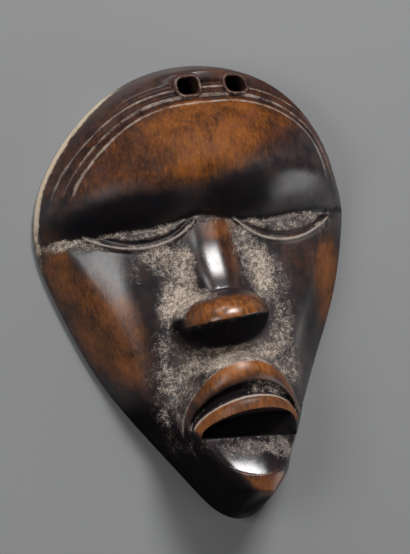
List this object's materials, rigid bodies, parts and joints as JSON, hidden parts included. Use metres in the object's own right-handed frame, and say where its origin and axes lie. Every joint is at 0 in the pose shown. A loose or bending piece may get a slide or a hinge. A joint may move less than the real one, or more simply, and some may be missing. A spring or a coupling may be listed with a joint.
{
  "type": "carved face mask",
  "caption": "Small carved wooden face mask with a hollow back, closed eyes, a pouting mouth and cord holes in the hairline band.",
  "frame": {"origin": "middle of the mask's outline, on the plane of its flat back rim", "axes": "+Z out of the face, +Y up the face from chin to forehead, +X to the viewer's right"},
  "size_m": [0.0996, 0.1422, 0.0404],
  "materials": {
    "wood": "hand polished dark brown, worn to orange brown on the high places, with a pale dusty crust in the hollows"
  },
  "bodies": {
    "root": {"mask": "wood"}
  },
  "joints": []
}
